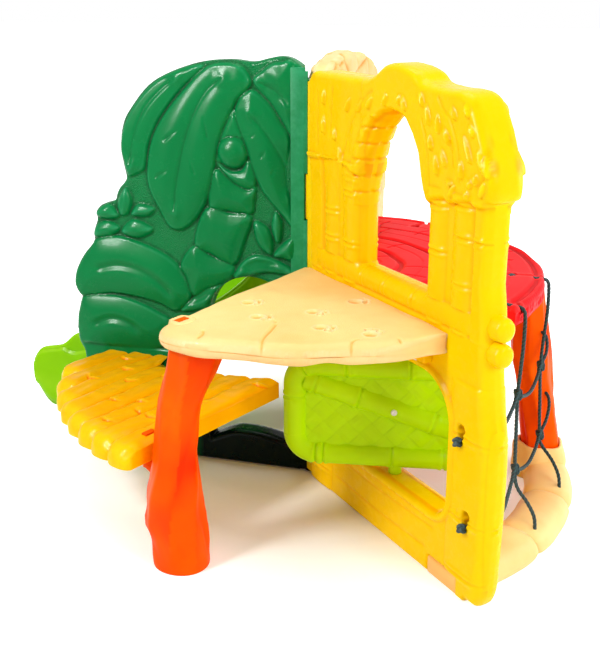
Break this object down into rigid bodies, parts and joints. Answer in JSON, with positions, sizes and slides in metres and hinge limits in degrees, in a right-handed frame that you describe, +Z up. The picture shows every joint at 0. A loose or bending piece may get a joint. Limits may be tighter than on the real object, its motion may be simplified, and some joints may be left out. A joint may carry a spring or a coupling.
{
  "type": "toddler climbing gym",
  "caption": "Moulded jungle climbing gym: walls round a pole, decks, raft step, slide, rope net and a swivel gate in an arch",
  "frame": {"origin": "on the floor under the centre pole, the middle of the lowest knuckle's foot", "axes": "+Z up; the palm wall runs from the pole along -X, the rock wall along +Y, the arch wall at -45 degrees; the slide runs out along -X"},
  "size_m": [1.797, 1.514, 1.2282],
  "materials": {
    "green_plastic": "rotationally moulded polyethylene, glossy",
    "yellow_plastic": "rotationally moulded polyethylene, glossy",
    "tan_plastic": "rotationally moulded polyethylene, glossy",
    "red_plastic": "rotationally moulded polyethylene, glossy",
    "amber_plastic": "rotationally moulded polyethylene, glossy",
    "orange_plastic": "rotationally moulded polyethylene, glossy",
    "lime_plastic": "rotationally moulded polyethylene, glossy",
    "rope": "twisted dark rope",
    "steel": "zinc plated steel",
    "white_screw": "white moulded cap screw"
  },
  "bodies": {
    "frame": {"palm_wall": "green_plastic", "arch_wall": "yellow_plastic", "rock_wall": "tan_plastic", "hub_pole": "steel", "stump_deck": "red_plastic", "ledge_deck": "tan_plastic", "raft_step": "amber_plastic", "front_trunk": "orange_plastic", "right_trunk": "orange_plastic", "slide": "lime_plastic", "stone_kerb": "tan_plastic", "gate_pin_lower": "steel", "gate_pin_upper": "steel", "net_rope_left": "rope", "net_rope_right": "rope", "net_rope_upper": "rope", "net_rope_lower": "rope", "net_knots": "rope", "wall_rope_knots": "rope", "deck_rope_knots": "rope", "kerb_rope_knots": "rope", "trunk_rope_knots": "rope", "stump_deck_screws": "steel", "ledge_deck_screws": "steel", "raft_screws": "steel", "slide_screws": "steel"},
    "gate": {"swivel_gate": "lime_plastic", "gate_screw": "white_screw"}
  },
  "joints": [
    {"name": "gate_swivel", "type": "hinge", "parent": "frame", "child": "gate", "pos_m": [0.29557, -0.29557, 0.33], "axis": [0, 0, 1], "range_deg": [-35, 105]}
  ]
}
